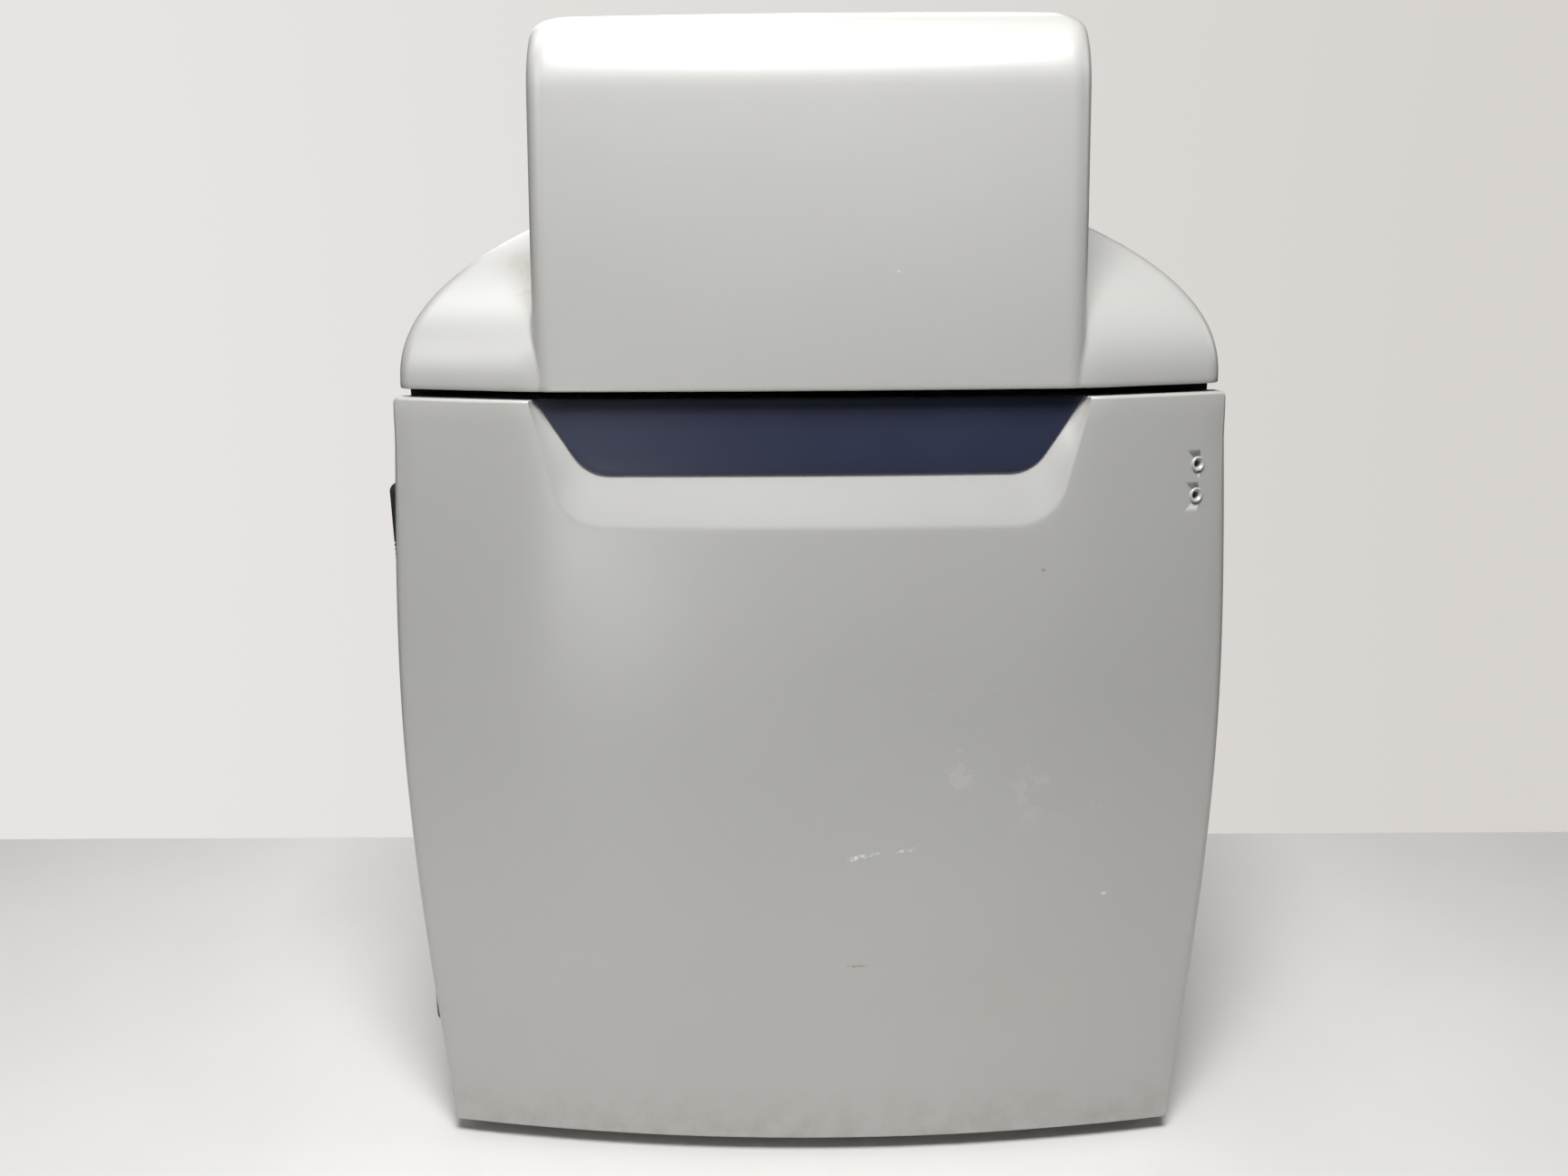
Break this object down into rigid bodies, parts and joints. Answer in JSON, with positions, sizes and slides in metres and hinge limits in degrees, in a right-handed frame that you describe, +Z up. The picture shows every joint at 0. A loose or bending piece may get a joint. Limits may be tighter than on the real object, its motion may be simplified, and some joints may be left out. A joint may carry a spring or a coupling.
{
  "type": "gel documentation system",
  "caption": "Bench gel documentation cabinet with a convex hinged door, side vent and a tall camera hood with shoulders.",
  "frame": {"origin": "middle of the footprint between the door's front and the rear fittings, at the level of the feet's undersides", "axes": "+Z up, -Y towards the front (the door), +X to the viewer's right"},
  "size_m": [0.5516, 0.4653, 0.745],
  "materials": {
    "paint_warm_grey": "satin",
    "fascia_blue_black": "gloss",
    "bezel_grey": "satin",
    "led_smoke": "gloss",
    "sheet_black": "matt",
    "plastic_black": "matt",
    "steel": "brushed",
    "aluminium_bare": "satin",
    "aluminium_black": "anodised",
    "rubber_black": "matt",
    "magnet": "matt",
    "cream_paint": "satin",
    "filter_dark": "polished",
    "filter_amber": "polished",
    "optical_glass": "polished",
    "opal": "satin",
    "lamp_glass": "polished",
    "zinc": "zinc plated",
    "board_green": "gloss"
  },
  "bodies": {
    "cabinet": {"base_pan": "zinc", "camera_body": "aluminium_black", "camera_shelf": "zinc", "chamber_liner": "sheet_black", "control_board": "board_green", "converter_hinges": "steel", "data_sockets": "zinc", "epi_diffusers": "opal", "epi_light_housings": "sheet_black", "fan_frames": "plastic_black", "feet": "rubber_black", "filter_glass_plate": "filter_dark", "filter_wheel_case": "aluminium_black", "front_frame": "sheet_black", "gear_motors": "steel", "hinge_brackets": "steel", "hinge_pins": "steel", "hood_rear_panel": "cream_paint", "interlock_switch": "plastic_black", "lamp_ballast": "zinc", "lamp_holders": "plastic_black", "lens_barrel": "aluminium_black", "lens_glasses": "optical_glass", "magnet_catch": "magnet", "power_inlet": "plastic_black", "power_supply": "zinc", "rear_panel": "cream_paint", "rear_screws": "steel", "reflector_tray": "aluminium_bare", "roof_deck": "sheet_black", "shelf_posts": "steel", "side_panel_left": "cream_paint", "side_panel_right": "cream_paint", "side_vent_cover": "plastic_black", "switch_housing": "plastic_black", "top_cover": "paint_warm_grey", "transilluminator_housing": "sheet_black", "uv_lamps": "lamp_glass"},
    "door": {"door_shell": "paint_warm_grey", "door_inner_panel": "sheet_black", "door_gasket": "rubber_black", "fascia_panel": "fascia_blue_black", "led_bezels": "bezel_grey", "led_lenses": "led_smoke", "door_striker": "steel", "hinge_door_leaves": "steel"},
    "converter": {"converter_frame": "plastic_black", "converter_screen": "opal"},
    "wheel": {"filter_wheel": "aluminium_black", "filter_glasses": "filter_amber"},
    "wheel_pinion": {"filter_wheel_pinion": "steel"},
    "focus_ring": {"focus_ring": "aluminium_bare"},
    "focus_pinion": {"focus_pinion": "steel"},
    "zoom_ring": {"zoom_ring": "aluminium_bare"},
    "zoom_pinion": {"zoom_pinion": "steel"},
    "interlock_plunger": {"interlock_plunger": "plastic_black"},
    "power_rocker": {"power_rocker": "plastic_black"},
    "fuse_drawer": {"fuse_drawer": "plastic_black"},
    "rear_fan_rotor": {"rear_fan_rotor": "plastic_black"},
    "hood_fan_rotor": {"hood_fan_rotor": "plastic_black"}
  },
  "joints": [
    {"name": "door_swing", "type": "hinge", "parent": "cabinet", "child": "door", "pos_m": [-0.2585, -0.183, 0.29], "axis": [0, 0, -1], "range_deg": [0, 95]},
    {"name": "converter_flip", "type": "hinge", "parent": "cabinet", "child": "converter", "pos_m": [0, 0.103, 0.105], "axis": [-1, 0, 0], "range_deg": [0, 97]},
    {"name": "filter_wheel_spin", "type": "hinge", "parent": "cabinet", "child": "wheel", "pos_m": [0, 0.028, 0.5325], "axis": [0, 0, 1], "continuous": true},
    {"name": "wheel_pinion_spin", "type": "hinge", "parent": "cabinet", "child": "wheel_pinion", "pos_m": [0.05162, 0.10172, 0.5325], "axis": [0, 0, 1], "continuous": true},
    {"name": "focus_ring_turn", "type": "hinge", "parent": "cabinet", "child": "focus_ring", "pos_m": [0, -0.02, 0.569], "axis": [0, 0, 1], "range_deg": [-135, 135]},
    {"name": "focus_pinion_spin", "type": "hinge", "parent": "cabinet", "child": "focus_pinion", "pos_m": [0.054, -0.02, 0.569], "axis": [0, 0, 1], "range_deg": [-472.5, 472.5]},
    {"name": "zoom_ring_turn", "type": "hinge", "parent": "cabinet", "child": "zoom_ring", "pos_m": [0, -0.02, 0.595], "axis": [0, 0, 1], "range_deg": [-60, 60]},
    {"name": "zoom_pinion_spin", "type": "hinge", "parent": "cabinet", "child": "zoom_pinion", "pos_m": [-0.03097, 0.02423, 0.595], "axis": [0, 0, 1], "range_deg": [-210, 210]},
    {"name": "interlock_press", "type": "slide", "parent": "cabinet", "child": "interlock_plunger", "axis": [0, 1, 0], "range_m": [0, 0.0025], "stiffness_N_per_m": 200},
    {"name": "power_rocker_tilt", "type": "hinge", "parent": "cabinet", "child": "power_rocker", "pos_m": [0.078, 0.2255, 0.062], "axis": [1, 0, 0], "range_deg": [-16, 0]},
    {"name": "fuse_drawer_pull", "type": "slide", "parent": "cabinet", "child": "fuse_drawer", "axis": [0, 1, 0], "range_m": [0, 0.014]},
    {"name": "rear_fan_spin", "type": "hinge", "parent": "cabinet", "child": "rear_fan_rotor", "pos_m": [0.15, 0.215, 0.2], "axis": [0, 1, 0], "continuous": true},
    {"name": "hood_fan_spin", "type": "hinge", "parent": "cabinet", "child": "hood_fan_rotor", "pos_m": [0, 0.212, 0.65], "axis": [0, 1, 0], "continuous": true}
  ],
  "couplings": [
    {"joint": "wheel_pinion_spin", "follows": "filter_wheel_spin", "ratio": -6.5},
    {"joint": "focus_pinion_spin", "follows": "focus_ring_turn", "ratio": -3.5},
    {"joint": "zoom_pinion_spin", "follows": "zoom_ring_turn", "ratio": -3.5}
  ]
}
